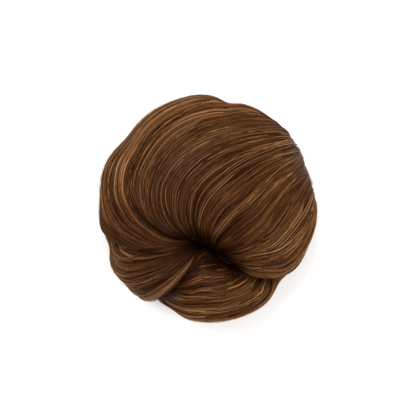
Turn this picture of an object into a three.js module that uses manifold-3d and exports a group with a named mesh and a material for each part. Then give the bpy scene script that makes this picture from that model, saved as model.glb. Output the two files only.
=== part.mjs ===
// A clip-in top knot: locks of long hair wrapped round a coil of the same hair, on a shallow net cap with a comb.
// Millimetres, +Z up. The knot lies on its cap with its swirl facing up, +Y being the top of the swirl.
import * as THREE from "three";
import { mergeVertices } from "three/addons/utils/BufferGeometryUtils.js";
import Module from "manifold-3d";

// The net cap under the coil.
const capRadius = 40;
const capRise = 14;
const capWall = 1.6;
const hemWidth = 3.4;
const hemHeight = 3;

// The knot as a whole. Its skin is the reference surface that the locks bulge out of.
const skinRadius = 52.5; // the widest ring
const skinHeight = 60; // top of the crown above the floor
const waistHeight = 25; // height of the widest ring
const footHeight = 1.2;

// The inner coil that carries the locks, round the cap and under the skin.
const coilWall = 2.6; // beside the cap
const coilBulge = 0.4; // of its widest ring over its foot
const coilFloor = 1.6;
const crownCover = 14; // of hair over the coil's top
const footCover = 2.9; // of hair over the coil's foot
const coilFootRadius = capRadius + coilWall;
const coilRadius = coilFootRadius + coilBulge;
const coilHeight = skinHeight - crownCover;
const footRadius = coilFootRadius + footCover; // where the hair turns under

// The slit that the locks dive into, as shares of the skin's radius, with its depth and how wide it opens.
const slit = { fromX: -0.13, fromY: -0.32, toX: 0.235, toY: -0.57 };
const slitDepth = 21;
const slitWidth = 3.4;
const hollowDepth = 8.5;
const hollowWidth = 14;
const coilSlitShare = 0.9;

// The comb inside the cap's edge.
const combLength = 38;
const combThickness = 1.8;
const combSpine = 5;
const combDepth = 20;
const toothPitch = 3.2;
const toothWidth = 1.5;
const toothTip = 0.7;
const combTilt = 12; // degrees that the teeth rise towards the crown

const seatGap = 0.3; // between pieces that lie on each other
const cutGap = 0.45; // how far a lock's corners are pushed out where it cuts its neighbour
const leastFacet = 0.04; // a cut's facets smaller than this are merged
const edgeRoll = 5; // radius of a lock's rolled edge
const leastBody = 1.4; // thinnest that a tucked end gets
const edgeLean = 0.035; // share of its width by which a lock's underside is narrower each side

// Reach in the tables below: 0 is the crown's middle, 1 the widest ring, footShare the foot.
const footShare = 1.6;
const alongSteps = 28;
const bundleSteps = 4; // facets across one bundle
const turnSteps = 40;
const domeSteps = 5;

// Where the outline draws in: turn in degrees, depth as a share of skinRadius, and how wide in degrees.
const outlineDents = [
  { turn: 18, depth: 0.042, width: 15 },
  { turn: 80, depth: 0.024, width: 5 },
  { turn: 140, depth: 0.036, width: 10 },
  { turn: 180, depth: 0.03, width: 12 },
  { turn: 201, depth: 0.064, width: 7 },
  { turn: 250, depth: 0.036, width: 7 },
  { turn: 313, depth: 0.048, width: 8 },
];

const hairColour = { crown: 0x5d3a22, left: 0x6a4429, lowerLeft: 0x573620, bottom: 0x523320, coil: 0x2a170d };

// Each lock is drawn by three guide hairs, inner, middle and outer, from root to tip.
// A row is one section: turn in degrees from +X and reach of each guide, then how far its skin stands
// above the knot's (lift) and how much more it swells in the middle (swell), as shares of edgeRoll.
const lockTables = {
  crown_lock: [
    { turnA: 45, reachA: 1.5, turnB: 37, reachB: 1.5, turnC: 28, reachC: 1.5, lift: 0.1, swell: 0.2 },
    { turnA: 51, reachA: 1.22, turnB: 36, reachB: 1.2, turnC: 21, reachC: 1.25, lift: 0.25, swell: 0.2 },
    { turnA: 68, reachA: 1.07, turnB: 35, reachB: 0.97, turnC: 4, reachC: 1.13, lift: 0.35, swell: 0.2 },
    { turnA: 84, reachA: 0.97, turnB: 37, reachB: 0.79, turnC: -9, reachC: 1.1, lift: 0.35, swell: 0.3 },
    { turnA: 104, reachA: 0.87, turnB: 39, reachB: 0.6, turnC: -22, reachC: 1.07, lift: 0.3, swell: 0.4 },
    { turnA: 124, reachA: 0.81, turnB: 41, reachB: 0.41, turnC: -34, reachC: 1.02, lift: 0.3, swell: 0.5 },
    { turnA: 146, reachA: 0.73, turnB: 44, reachB: 0.22, turnC: -45, reachC: 0.9, lift: 0.3, swell: 0.6 },
    { turnA: 170, reachA: 0.63, turnB: 56, reachB: 0.05, turnC: -53, reachC: 0.7, lift: 0.3, swell: 0.6 },
    { turnA: 193, reachA: 0.49, turnB: -112, reachB: 0.08, turnC: -60, reachC: 0.54, lift: 0.3, swell: 0.4 },
    { turnA: 217, reachA: 0.35, turnB: -100, reachB: 0.18, turnC: -65, reachC: 0.44, lift: 0.2, swell: 0.2 },
    { turnA: 244, reachA: 0.24, turnB: -92, reachB: 0.26, turnC: -68, reachC: 0.385, lift: 0, swell: 0 },
  ],
  left_lock: [
    { turnA: 54, reachA: 1.06, turnB: 52, reachB: 1.28, turnC: 50, reachC: 1.5, lift: -1.1, swell: 0.2 },
    { turnA: 70, reachA: 1.0, turnB: 71, reachB: 1.24, turnC: 71, reachC: 1.52, lift: -0.3, swell: 0.5 },
    { turnA: 88, reachA: 0.84, turnB: 92, reachB: 1.14, turnC: 92, reachC: 1.53, lift: 0.3, swell: 0.6 },
    { turnA: 106, reachA: 0.74, turnB: 112, reachB: 1.04, turnC: 114, reachC: 1.53, lift: 0.4, swell: 0.4 },
    { turnA: 126, reachA: 0.67, turnB: 134, reachB: 0.97, turnC: 136, reachC: 1.52, lift: 0.4, swell: 0.3 },
    { turnA: 146, reachA: 0.6, turnB: 156, reachB: 0.91, turnC: 157, reachC: 1.46, lift: 0.5, swell: 0.3 },
    { turnA: 167, reachA: 0.55, turnB: 176, reachB: 0.82, turnC: 176, reachC: 1.3, lift: 0.5, swell: 0.3 },
    { turnA: 187, reachA: 0.455, turnB: 191, reachB: 0.67, turnC: 191, reachC: 1.1, lift: 0.5, swell: 0.4 },
    { turnA: 207, reachA: 0.35, turnB: 206, reachB: 0.51, turnC: 201, reachC: 0.86, lift: 0.5, swell: 0.4 },
    { turnA: 228, reachA: 0.275, turnB: 220, reachB: 0.37, turnC: 210, reachC: 0.57, lift: 0.4, swell: 0.3 },
    { turnA: 250, reachA: 0.215, turnB: 242, reachB: 0.25, turnC: 236, reachC: 0.3, lift: 0.1, swell: 0 },
  ],
  lower_left_lock: [
    { turnA: 160, reachA: 1.05, turnB: 158, reachB: 1.27, turnC: 156, reachC: 1.5, lift: -1.1, swell: 0.2 },
    { turnA: 177, reachA: 0.95, turnB: 178, reachB: 1.22, turnC: 179, reachC: 1.52, lift: -0.4, swell: 0.5 },
    { turnA: 191, reachA: 0.82, turnB: 196, reachB: 1.12, turnC: 201, reachC: 1.52, lift: 0.3, swell: 0.6 },
    { turnA: 200, reachA: 0.68, turnB: 208, reachB: 0.98, turnC: 220, reachC: 1.42, lift: 0.6, swell: 0.5 },
    { turnA: 207, reachA: 0.55, turnB: 216, reachB: 0.84, turnC: 233, reachC: 1.22, lift: 0.6, swell: 0.5 },
    { turnA: 214, reachA: 0.44, turnB: 222, reachB: 0.68, turnC: 241, reachC: 1.0, lift: 0.6, swell: 0.5 },
    { turnA: 222, reachA: 0.35, turnB: 229, reachB: 0.51, turnC: 246, reachC: 0.74, lift: 0.6, swell: 0.4 },
    { turnA: 233, reachA: 0.27, turnB: 239, reachB: 0.37, turnC: 252, reachC: 0.49, lift: 0.4, swell: 0.3 },
    { turnA: 246, reachA: 0.215, turnB: 251, reachB: 0.255, turnC: 260, reachC: 0.29, lift: 0.1, swell: 0 },
  ],
  bottom_lock: [
    { turnA: 228, reachA: 0.6, turnB: 224, reachB: 1.0, turnC: 218, reachC: 1.5, lift: -1.1, swell: 0.2 },
    { turnA: 240, reachA: 0.46, turnB: 238, reachB: 0.96, turnC: 237, reachC: 1.52, lift: -0.4, swell: 0.5 },
    { turnA: 252, reachA: 0.34, turnB: 253, reachB: 0.9, turnC: 255, reachC: 1.53, lift: 0.1, swell: 0.7 },
    { turnA: 262, reachA: 0.285, turnB: 269, reachB: 0.88, turnC: 273, reachC: 1.53, lift: 0.2, swell: 0.8 },
    { turnA: 272, reachA: 0.28, turnB: 285, reachB: 0.87, turnC: 291, reachC: 1.53, lift: 0.2, swell: 0.8 },
    { turnA: 283, reachA: 0.31, turnB: 300, reachB: 0.86, turnC: 309, reachC: 1.53, lift: 0.1, swell: 0.7 },
    { turnA: 296, reachA: 0.39, turnB: 315, reachB: 0.9, turnC: 326, reachC: 1.53, lift: -0.3, swell: 0.6 },
    { turnA: 312, reachA: 0.58, turnB: 332, reachB: 1.0, turnC: 343, reachC: 1.53, lift: -0.5, swell: 0.6 },
    { turnA: 332, reachA: 0.8, turnB: 350, reachB: 1.12, turnC: 360, reachC: 1.52, lift: -0.5, swell: 0.6 },
    { turnA: 352, reachA: 0.98, turnB: 368, reachB: 1.2, turnC: 376, reachC: 1.52, lift: -0.7, swell: 0.4 },
    { turnA: 374, reachA: 1.08, turnB: 382, reachB: 1.28, turnC: 388, reachC: 1.5, lift: -1.1, swell: 0.2 },
  ],
};

// Where across a lock the grooves between its bundles of hair run, from edge to edge.
const bundleEdges = {
  crown_lock: [0, 0.2, 0.42, 0.66, 0.84, 1],
  left_lock: [0, 0.28, 0.6, 1],
  lower_left_lock: [0, 0.4, 0.72, 1],
  bottom_lock: [0, 0.3, 0.62, 1],
};
const bundleDepth = 1.1; // of the grooves

const wasm = await Module();
wasm.setup();

function toSolid(geometry) {
  const bare = geometry.clone();
  bare.deleteAttribute("normal");
  bare.deleteAttribute("uv");
  const merged = mergeVertices(bare, 1e-4);
  return new wasm.Manifold(
    new wasm.Mesh({
      numProp: 3,
      vertProperties: merged.attributes.position.array,
      triVerts: new Uint32Array(merged.index.array),
    }),
  );
}

function toGeometry(solid) {
  const mesh = solid.getMesh();
  const geometry = new THREE.BufferGeometry();
  geometry.setAttribute("position", new THREE.BufferAttribute(new Float32Array(mesh.vertProperties), 3));
  geometry.setIndex(new THREE.BufferAttribute(new Uint32Array(mesh.triVerts), 1));
  return geometry;
}

// A cut can leave crumbs beside the main body, and slivers on it.
function mainBody(solid) {
  const bodies = solid.decompose();
  return bodies.reduce((largest, body) => (body.volume() > largest.volume() ? body : largest)).simplify(leastFacet);
}

// Turns a closed skin's faces outwards, whichever way round its rows run.
function facingOut(geometry) {
  const position = geometry.attributes.position;
  const index = geometry.index.array;
  const corners = [new THREE.Vector3(), new THREE.Vector3(), new THREE.Vector3()];
  let volume = 0;
  for (let at = 0; at < index.length; at += 3) {
    corners.forEach((corner, side) => corner.fromBufferAttribute(position, index[at + side]));
    volume += corners[0].dot(corners[1].clone().cross(corners[2]));
  }
  if (volume < 0) {
    index.reverse();
  }
  return geometry;
}

// One closed skin through rows of points, each row a closed loop of the same count. The ends are closed by endFaces.
function closedGeometry(rows, endFaces) {
  const count = rows[0].length;
  const positions = rows.flat().flatMap((point) => point.toArray());
  const index = [];
  for (let row = 0; row + 1 < rows.length; row += 1) {
    for (let at = 0; at < count; at += 1) {
      const a = row * count + at;
      const b = row * count + ((at + 1) % count);
      index.push(a, a + count, b, b, a + count, b + count);
    }
  }
  for (const [a, b, c] of endFaces(count)) {
    const last = (rows.length - 1) * count;
    index.push(a, b, c, last + a, last + c, last + b);
  }
  const geometry = new THREE.BufferGeometry();
  geometry.setAttribute("position", new THREE.Float32BufferAttribute(positions, 3));
  geometry.setIndex(index);
  return facingOut(geometry);
}

// How far the surface sinks towards the slit, at a place in plan.
function sinkAt(x, y) {
  const from = new THREE.Vector3(slit.fromX * skinRadius, slit.fromY * skinRadius, 0);
  const to = new THREE.Vector3(slit.toX * skinRadius, slit.toY * skinRadius, 0);
  const place = new THREE.Vector3(x, y, 0);
  const away = new THREE.Line3(from, to).closestPointToPoint(place, true, new THREE.Vector3()).distanceTo(place);
  return slitDepth * Math.exp(-away / slitWidth) + hollowDepth * Math.exp(-((away / hollowWidth) ** 2));
}

// How much the outline draws in at a turn, as a share of the radius.
function dentAt(turn) {
  return outlineDents.reduce((sum, dent) => {
    const away = THREE.MathUtils.euclideanModulo(THREE.MathUtils.radToDeg(turn) - dent.turn + 180, 360) - 180;
    return sum + dent.depth * Math.exp(-((away / dent.width) ** 2));
  }, 0);
}

// A place on a crown that turns under to its foot, with the direction out of it. Dents fade towards both.
function onShell(turn, reach, shell) {
  const upper = reach <= 1;
  const angle = (Math.PI / 2) * (upper ? reach : (reach - 1) / (footShare - 1));
  const along = Math.sin(angle);
  const up = Math.cos(angle);
  const crownRise = shell.height - waistHeight;
  const underWidth = shell.radius - shell.footRadius;
  const underDrop = waistHeight - shell.footHeight;
  const fullRadius = upper ? shell.radius * along : shell.footRadius + underWidth * up;
  const radius = fullRadius * (1 - shell.dentShare * dentAt(turn) * (upper ? along ** 4 : up));
  const height = upper ? waistHeight + crownRise * up : waistHeight - underDrop * along;
  const out = upper
    ? new THREE.Vector2(along / shell.radius, up / crownRise)
    : new THREE.Vector2(up / underWidth, -along / underDrop);
  out.normalize();
  const x = Math.cos(turn);
  const y = Math.sin(turn);
  const sink = upper ? shell.sinkShare * sinkAt(radius * x, radius * y) : 0;
  return {
    point: new THREE.Vector3(radius * x, radius * y, height - sink),
    out: new THREE.Vector3(out.x * x, out.x * y, out.y),
  };
}

const skinShell = {
  radius: skinRadius,
  height: skinHeight,
  footRadius,
  footHeight,
  sinkShare: 1,
  dentShare: 1,
};
const coilShell = {
  radius: coilRadius,
  height: coilHeight,
  footRadius: coilFootRadius,
  footHeight: coilFloor,
  sinkShare: coilSlitShare,
  dentShare: 0,
};

// A point of a lock: above the knot's skin it stands out of it, below it sinks towards the coil.
function lockPoint(chart, rise) {
  const turn = Math.atan2(chart.y, chart.x);
  const reach = Math.min(Math.hypot(chart.x, chart.y), footShare);
  const skin = onShell(turn, reach, skinShell);
  if (rise >= 0) {
    skin.point.addScaledVector(skin.out, rise);
    skin.point.z = Math.max(skin.point.z, 0);
    return skin.point;
  }
  const seat = onShell(turn, reach, coilShell);
  const depth = skin.point.distanceTo(seat.point);
  return skin.point.lerp(seat.point, Math.min(-rise / depth, 1 - leastBody / depth));
}

function seatPoint(chart) {
  const turn = Math.atan2(chart.y, chart.x);
  const reach = Math.min(Math.hypot(chart.x, chart.y), footShare);
  return onShell(turn, reach, coilShell).point;
}

function guideCurve(rows, turnKey, reachKey) {
  const points = rows.map((row) => {
    const turn = THREE.MathUtils.degToRad(row[turnKey]);
    return new THREE.Vector3(row[reachKey] * Math.cos(turn), row[reachKey] * Math.sin(turn), 0);
  });
  return new THREE.CatmullRomCurve3(points, false, "catmullrom", 0.5);
}

// The place across a section: a parabola through its inner, middle and outer guides.
function acrossGuides(inner, middle, outer, across) {
  return new THREE.Vector3()
    .addScaledVector(inner, (1 - across) * (1 - 2 * across))
    .addScaledVector(middle, 4 * across * (1 - across))
    .addScaledVector(outer, across * (2 * across - 1));
}

// The places across a section: each bundle has closer facets at its two grooves.
function sectionPlaces(edges) {
  const places = [];
  for (let bundle = 0; bundle + 1 < edges.length; bundle += 1) {
    for (let step = 0; step < bundleSteps; step += 1) {
      const within = (1 - Math.cos((Math.PI * step) / bundleSteps)) / 2;
      places.push({ across: THREE.MathUtils.lerp(edges[bundle], edges[bundle + 1], within), within });
    }
  }
  return [...places, { across: 1, within: 1 }];
}

function lockGeometry(rows, edges) {
  const innerGuide = guideCurve(rows, "turnA", "reachA");
  const middleGuide = guideCurve(rows, "turnB", "reachB");
  const outerGuide = guideCurve(rows, "turnC", "reachC");
  const swellGuide = new THREE.CatmullRomCurve3(
    rows.map((row) => new THREE.Vector3(row.lift, row.swell, 0)), false, "catmullrom", 0.5,
  );
  const loops = [];
  for (let step = 0; step <= alongSteps; step += 1) {
    const along = step / alongSteps;
    const inner = innerGuide.getPoint(along);
    const middle = middleGuide.getPoint(along);
    const outer = outerGuide.getPoint(along);
    const { x: lift, y: swell } = swellGuide.getPoint(along);
    const width = (inner.distanceTo(middle) + middle.distanceTo(outer)) * skinRadius;
    const top = [];
    const under = [];
    for (const { across, within } of sectionPlaces(edges)) {
      const fromEdge = Math.max(0, 1 - (Math.min(across, 1 - across) * width) / edgeRoll);
      const rounding = 1 - Math.sqrt(1 - fromEdge ** 2);
      const groove = bundleDepth * (1 - Math.sin(Math.PI * within)) ** 2;
      const bulge = lift + swell * (1 - Math.abs(2 * across - 1) ** 2.5) - rounding;
      top.push(lockPoint(acrossGuides(inner, middle, outer, across), edgeRoll * bulge - groove));
      const inset = THREE.MathUtils.lerp(edgeLean, 1 - edgeLean, across);
      under.unshift(seatPoint(acrossGuides(inner, middle, outer, inset)));
    }
    loops.push([...top, ...under]);
  }
  return closedGeometry(loops, (count) => {
    const faces = [];
    for (let at = 0; at < count / 2 - 1; at += 1) {
      const below = count - 1 - at;
      faces.push([at, at + 1, below], [at + 1, below - 1, below]);
    }
    return faces;
  });
}

// The same lock pushed out all round, to cut its place out of its neighbours.
function swollen(geometry) {
  const grown = geometry.clone();
  grown.computeVertexNormals();
  const position = grown.attributes.position;
  const point = new THREE.Vector3();
  const normal = new THREE.Vector3();
  for (let at = 0; at < position.count; at += 1) {
    point.fromBufferAttribute(position, at);
    normal.fromBufferAttribute(grown.attributes.normal, at);
    point.addScaledVector(normal, cutGap);
    position.setXYZ(at, point.x, point.y, point.z);
  }
  return grown;
}

// Height of the net dome's outside above the floor.
function capHeightAt(radius) {
  return hemHeight + (capRise - hemHeight) * (1 - (radius / capRadius) ** 2);
}

// The inner coil: the seat of the locks above, and hollow below to take the cap.
function coilGeometry() {
  const rings = [];
  const crownRings = 16;
  const ringAt = (pointAt) => {
    const ring = [];
    for (let step = 0; step < turnSteps; step += 1) {
      ring.push(pointAt((2 * Math.PI * step) / turnSteps));
    }
    return ring;
  };
  const nearPole = 1e-3;
  for (let step = 0; step <= crownRings; step += 1) {
    const reach = Math.max(nearPole, (footShare * step) / crownRings);
    rings.push(ringAt((turn) => onShell(turn, reach, coilShell).point));
  }
  const flatRing = (radius, height) =>
    ringAt((turn) => new THREE.Vector3(radius * Math.cos(turn), radius * Math.sin(turn), height));
  rings.push(flatRing(capRadius + seatGap, coilFloor));
  for (let step = 0; step <= domeSteps; step += 1) {
    const radius = Math.max(nearPole, (capRadius + seatGap) * (1 - step / domeSteps));
    rings.push(flatRing(radius, capHeightAt(Math.min(radius, capRadius)) + seatGap));
  }
  return closedGeometry(rings, (count) => {
    const faces = [];
    for (let at = 1; at + 1 < count; at += 1) {
      faces.push([0, at, at + 1]);
    }
    return faces;
  });
}

// A shallow net dome with a thick flat hem, turned about +Z: up the inside, across the hem, up the outside.
function capGeometry() {
  const innerRadius = capRadius - hemWidth;
  const profile = [];
  for (let step = 0; step <= domeSteps; step += 1) {
    const radius = (innerRadius * step) / domeSteps;
    profile.push(new THREE.Vector2(radius, capHeightAt(radius) - capWall));
  }
  profile.push(new THREE.Vector2(innerRadius, 0));
  for (let step = domeSteps; step >= 0; step -= 1) {
    const radius = (capRadius * step) / domeSteps;
    profile.push(new THREE.Vector2(radius, step === domeSteps ? 0 : capHeightAt(radius)));
    if (step === domeSteps) {
      profile.push(new THREE.Vector2(capRadius, hemHeight));
    }
  }
  return new THREE.LatheGeometry(profile, turnSteps).rotateX(Math.PI / 2);
}

// A flat comb: a straight spine with tapered teeth.
function combGeometry() {
  const outline = new THREE.Shape();
  const half = combLength / 2;
  const teeth = Math.floor((combLength - toothWidth) / toothPitch) + 1;
  const firstTooth = (-(teeth - 1) * toothPitch) / 2;
  outline.moveTo(-half, 0);
  outline.lineTo(-half, -combSpine);
  for (let tooth = 0; tooth < teeth; tooth += 1) {
    const middle = firstTooth + tooth * toothPitch;
    outline.lineTo(middle - toothWidth / 2, -combSpine);
    outline.lineTo(middle - toothTip / 2, toothTip - combDepth);
    outline.lineTo(middle, -combDepth);
    outline.lineTo(middle + toothTip / 2, toothTip - combDepth);
    outline.lineTo(middle + toothWidth / 2, -combSpine);
  }
  outline.lineTo(half, -combSpine);
  outline.lineTo(half, 0);
  return new THREE.ExtrudeGeometry(outline, { depth: combThickness, bevelEnabled: false });
}

function hairMaterial(colour) {
  return new THREE.MeshStandardMaterial({ color: colour, roughness: 0.45, metalness: 0 });
}

function named(name, geometry, material) {
  const mesh = new THREE.Mesh(geometry, material);
  mesh.name = name;
  return mesh;
}

const knot = new THREE.Group();
const pieces = new THREE.Group();
knot.add(pieces);

// A lock that lies over another cuts its own place out of it.
const liesUnder = {
  left_lock: [],
  lower_left_lock: ["left_lock"],
  crown_lock: ["left_lock", "lower_left_lock"],
  bottom_lock: ["lower_left_lock", "crown_lock", "left_lock"],
};
const lockColours = {
  left_lock: hairColour.left,
  lower_left_lock: hairColour.lowerLeft,
  crown_lock: hairColour.crown,
  bottom_lock: hairColour.bottom,
};
const lockShapes = {};
for (const [name, rows] of Object.entries(lockTables)) {
  lockShapes[name] = lockGeometry(rows, bundleEdges[name]);
}
const coil = coilGeometry();
for (const [name, above] of Object.entries(liesUnder)) {
  let body = toSolid(lockShapes[name]);
  for (const neighbour of [coil, ...above.map((other) => lockShapes[other])]) {
    body = body.subtract(toSolid(swollen(neighbour))).subtract(toSolid(neighbour));
  }
  pieces.add(named(name, toGeometry(mainBody(body)), hairMaterial(lockColours[name])));
}

pieces.add(named("inner_coil", coil, hairMaterial(hairColour.coil)));

const netMaterial = new THREE.MeshStandardMaterial({ color: 0x2b1d14, roughness: 0.85, metalness: 0 });
pieces.add(named("net_cap", capGeometry(), netMaterial));

const comb = named("comb", combGeometry(), new THREE.MeshStandardMaterial({ color: 0x3a2417, roughness: 0.3 }));
const tilt = THREE.MathUtils.degToRad(combTilt);
const combCorner = capRadius - hemWidth - seatGap;
const combBack = Math.sqrt(combCorner ** 2 - (combLength / 2) ** 2) - combThickness * Math.sin(tilt);
comb.position.set(0, combBack, capHeightAt(combCorner) - capWall - seatGap - combThickness);
comb.rotation.x = -tilt;
pieces.add(comb);

// The origin is under the middle of the knot's outline.
const outline = new THREE.Box3().setFromObject(pieces, true).getCenter(new THREE.Vector3());
pieces.position.set(-outline.x, -outline.y, 0);

export default knot;
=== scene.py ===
# A clip-in top knot: locks of long brown hair wound round a slit, on a net cap with a comb.
# Metres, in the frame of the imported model. Blender 4.5.
import math

import bpy
import numpy as np
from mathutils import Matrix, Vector


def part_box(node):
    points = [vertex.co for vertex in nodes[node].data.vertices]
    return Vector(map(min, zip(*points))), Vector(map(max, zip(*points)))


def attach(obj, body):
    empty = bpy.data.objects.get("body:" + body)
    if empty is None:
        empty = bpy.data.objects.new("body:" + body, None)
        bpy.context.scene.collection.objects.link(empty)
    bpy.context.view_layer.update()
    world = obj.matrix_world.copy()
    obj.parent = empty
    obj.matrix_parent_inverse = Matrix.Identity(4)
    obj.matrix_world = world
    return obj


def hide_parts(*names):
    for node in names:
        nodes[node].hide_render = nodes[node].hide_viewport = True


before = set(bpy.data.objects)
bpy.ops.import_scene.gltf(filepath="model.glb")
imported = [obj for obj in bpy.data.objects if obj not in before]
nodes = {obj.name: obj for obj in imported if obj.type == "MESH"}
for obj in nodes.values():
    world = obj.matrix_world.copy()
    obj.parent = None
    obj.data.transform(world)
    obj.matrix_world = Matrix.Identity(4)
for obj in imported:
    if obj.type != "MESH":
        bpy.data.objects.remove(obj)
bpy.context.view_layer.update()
print("frame loaded, nodes:", sorted(nodes))

mm = 0.001
seed = 41
tiny = 1e-12  # keeps a length that is divided by from being zero
capLow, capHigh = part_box("net_cap")
knotAxis = np.array([(capLow[0] + capHigh[0]) / 2, (capLow[1] + capHigh[1]) / 2])

# The knot's skin, which the locks stand out of.
knot = {
    "radius": 52.5 * mm,  # the widest ring
    "height": 60 * mm,
    "waist": 25 * mm,  # height of the widest ring
    "footRadius": 45.5 * mm,
    "footHeight": 1.2 * mm,
    "footShare": 1.6,  # reach is 0 at the crown's middle, 1 at the widest ring, this at the foot
    "slitFrom": (-0.13, -0.32),  # shares of the radius
    "slitTo": (0.235, -0.57),
    "slitDepth": 21 * mm,
    "slitWidth": 3.4 * mm,
    "hollowDepth": 8.5 * mm,
    "hollowWidth": 14 * mm,
    # painted shade: the hair in the slit is painted darker, by how far the skin sinks there
    "slitShade": 0.18,  # how much darker the hair is in the slit
    "slitShadeSink": (6 * mm, 18 * mm),  # how far the skin sinks where the shade starts and where it is full
    "edgeRoll": 5 * mm,  # radius of a lock's rolled edge
    "swellPower": 2.5,
    # turn in degrees, depth as a share of the radius, width in degrees
    "dents": [
        (18, 0.042, 15),
        (80, 0.024, 5),
        (140, 0.036, 10),
        (180, 0.03, 12),
        (201, 0.064, 7),
        (206, 0.016, 15),
        (250, 0.036, 7),
        (313, 0.048, 8),
        (336, 0.014, 16),
    ],
}


# Smooth steps from 0 to 1 between two limits: 3t^2 - 2t^3.
def eased(value, low, high):
    t = np.clip((value - low) / (high - low), 0, 1)
    return t * t * (3 - 2 * t)


# Seeded noise on the unit square: a grid of random numbers, joined by eased steps in both directions.
def clumpNoise(across, along, columns, rows, key):
    grid = np.random.default_rng([seed, key]).uniform(-1, 1, (columns + 2, rows + 2))
    x = np.clip(across, 0, 1) * columns
    y = np.clip(along, 0, 1) * rows
    column = np.minimum(x.astype(int), columns)
    row = np.minimum(y.astype(int), rows)
    fx = eased(x - column, 0, 1)
    fy = eased(y - row, 0, 1)
    low = grid[column, row] * (1 - fx) + grid[column + 1, row] * fx
    high = grid[column, row + 1] * (1 - fx) + grid[column + 1, row + 1] * fx
    return low * (1 - fy) + high * fy


# How far the skin sinks towards the slit: a sharp cut exp(-d/w) in a soft hollow exp(-(d/w)^2), with d the
# distance from the slit's line and w each one's width.
def sinkAt(x, y):
    start = np.array(knot["slitFrom"]) * knot["radius"]
    run = np.array(knot["slitTo"]) * knot["radius"] - start
    share = np.clip(((x - start[0]) * run[0] + (y - start[1]) * run[1]) / (run @ run), 0, 1)
    away = np.hypot(x - start[0] - share * run[0], y - start[1] - share * run[1])
    sharp = knot["slitDepth"] * np.exp(-away / knot["slitWidth"])
    return sharp + knot["hollowDepth"] * np.exp(-((away / knot["hollowWidth"]) ** 2))


# How much the outline draws in at a turn, as a share of the radius: a sum of bell curves.
def dentAt(turn):
    away = np.degrees(turn)[..., None] - np.array([dent[0] for dent in knot["dents"]])
    away = (away + 180) % 360 - 180
    depth = np.array([dent[1] for dent in knot["dents"]])
    width = np.array([dent[2] for dent in knot["dents"]])
    return (depth * np.exp(-((away / width) ** 2))).sum(-1)


# Points and outward directions of a crown that turns under to its foot: two quarter ellipses, one above the
# widest ring and one below it, spun by turn. shape gives radius, height, footRadius, footHeight.
def shellAt(turn, reach, shape, sinkShare, dentShare):
    upper = reach <= 1
    angle = (math.pi / 2) * np.where(upper, reach, (reach - 1) / (knot["footShare"] - 1))
    along, up = np.sin(angle), np.cos(angle)
    rise = shape["height"] - knot["waist"]
    underWidth = shape["radius"] - shape["footRadius"]
    underDrop = knot["waist"] - shape["footHeight"]
    radius = np.where(upper, shape["radius"] * along, shape["footRadius"] + underWidth * up)
    radius = radius * (1 - dentShare * dentAt(turn) * np.where(upper, along**4, up))
    height = np.where(upper, knot["waist"] + rise * up, knot["waist"] - underDrop * along)
    outWide = np.where(upper, along / shape["radius"], up / underWidth)
    outUp = np.where(upper, up / rise, -along / underDrop)
    size = np.hypot(outWide, outUp)
    x, y = np.cos(turn), np.sin(turn)
    sink = np.where(upper, sinkShare * sinkAt(radius * x, radius * y), 0)
    point = np.stack([radius * x, radius * y, height - sink], -1)
    out = np.stack([outWide / size * x, outWide / size * y, outUp / size], -1)
    return point, out


# Values of a table's columns at place along, from 0 to 1, on a Catmull-Rom curve through its rows.
def carriedAlong(table, along):
    rows = np.asarray(table, float)
    rows = np.concatenate([[2 * rows[0] - rows[1]], rows, [2 * rows[-1] - rows[-2]]])
    place = np.clip(along, 0, 1) * (len(rows) - 3)
    at = np.minimum(place.astype(int), len(rows) - 4)
    t = (place - at)[..., None]
    a, b, c, d = (rows[at + step] for step in range(4))
    return 0.5 * (2 * b + (c - a) * t + (2 * a - 5 * b + 4 * c - d) * t**2 + (3 * b - a - 3 * c + d) * t**3)


# A lock's rows as x, y of its inner, middle and outer guide hair on the chart, with lift and swell.
def chartRows(sections):
    rows = []
    for section in sections:
        row = []
        for turn, reach in section["guides"]:
            row += [reach * math.cos(math.radians(turn)), reach * math.sin(math.radians(turn))]
        rows.append(row + [section["lift"], section["swell"]])
    return rows


# A place on the chart: a parabola across the lock through its three guides.
def chartAt(values, across):
    u = across[..., None]
    inner, middle, outer = values[..., 0:2], values[..., 2:4], values[..., 4:6]
    return inner * (1 - u) * (1 - 2 * u) + middle * 4 * u * (1 - u) + outer * u * (2 * u - 1)


# How deep a lock's skin is pressed down by the edge of a lock over it: eased from nothing at the shade
# distance before that edge to the full depth under it, by the signed distance from the edge on the chart. It
# fades towards the ends of the edge's stretch and past them.
def pressedAt(lock, chart):
    depth = np.zeros(chart.shape[:-1])
    for press in lock["pressedBy"]:
        stretch = np.linspace(press["from"], press["to"], press["points"])
        column = press["guide"]
        edge = carriedAlong(locks[press["lock"]]["rows"], stretch)[:, column : column + 2]
        run = np.gradient(edge, axis=0)
        run /= np.linalg.norm(run, axis=-1, keepdims=True)
        gap = chart[..., None, :] - edge
        nearest = np.argmin((gap**2).sum(-1), -1)
        gap = np.take_along_axis(gap, nearest[..., None, None], -2)[..., 0, :]
        along = run[nearest]
        inside = press["side"] * (along[..., 0] * gap[..., 1] - along[..., 1] * gap[..., 0]) * knot["radius"]
        past = np.abs((along * gap).sum(-1)) * knot["radius"]
        share = nearest / (press["points"] - 1)
        fade = eased(share, -press["endGap"], press["fadeIn"])
        fade = fade * (1 - eased(share, 1 - press["fadeOut"], 1 + press["endGap"]))
        near = fade * (1 - eased(past, *press["past"]))
        depth = depth + near * press["depth"] * eased(inside, -press["shade"], press["under"])
    return depth


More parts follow.
